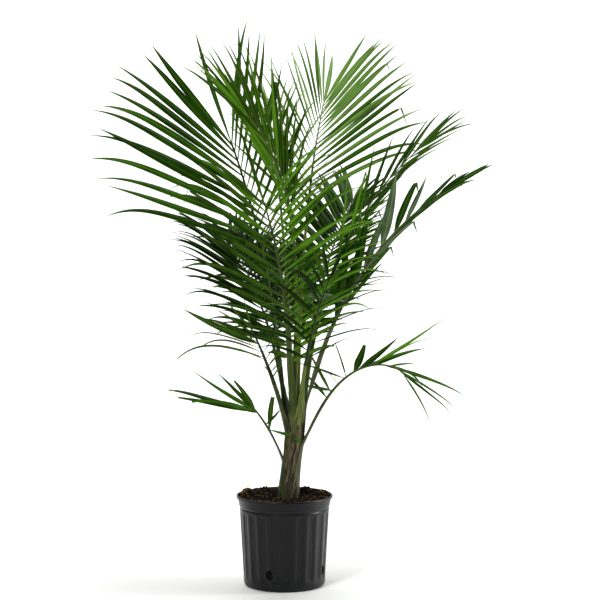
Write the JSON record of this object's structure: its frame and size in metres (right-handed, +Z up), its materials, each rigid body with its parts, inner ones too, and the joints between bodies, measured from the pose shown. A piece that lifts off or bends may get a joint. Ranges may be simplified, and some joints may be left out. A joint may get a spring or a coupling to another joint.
{
  "type": "potted majesty palm",
  "caption": "Young majesty palm: feather fronds fan up and out from a short sheathed trunk, in a round ribbed nursery pot filled with soil.",
  "frame": {"origin": "centre of the pot's flat underside", "axes": "+Z up along the pot's axis, -Y to the front, +X to the right as seen from the front"},
  "size_m": [0.9847, 0.7704, 1.4022],
  "materials": {
    "pot": "satin black moulded polythene, scuffed",
    "soil": "moist crumbly potting mix with bark and coir",
    "trunk": "dull fibrous leaf sheaths",
    "stalk": "satin green leaf stalk",
    "leaf": "satin green leaflet"
  },
  "bodies": {
    "root": {"pot": "pot", "soil": "soil", "trunk": "trunk", "petiole_back_left_high": "stalk", "petiole_back_high": "stalk", "petiole_back_right_high": "stalk", "petiole_right_high": "stalk", "petiole_right_mid": "stalk", "petiole_spear": "stalk", "petiole_front_left": "stalk", "petiole_left_low": "stalk", "petiole_left_lowest": "stalk", "petiole_right_lowest": "stalk", "petiole_back_left_mid": "stalk", "petiole_back_right_mid": "stalk", "petiole_back_low": "stalk", "petiole_front_right": "stalk", "frond_back_left_high": "leaf", "frond_back_high": "leaf", "frond_back_right_high": "leaf", "frond_right_high": "leaf", "frond_right_mid": "leaf", "frond_spear": "leaf", "frond_front_left": "leaf", "frond_left_low": "leaf", "frond_left_lowest": "leaf", "frond_right_lowest": "leaf", "frond_back_left_mid": "leaf", "frond_back_right_mid": "leaf", "frond_back_low": "leaf", "frond_front_right": "leaf"}
  },
  "joints": []
}
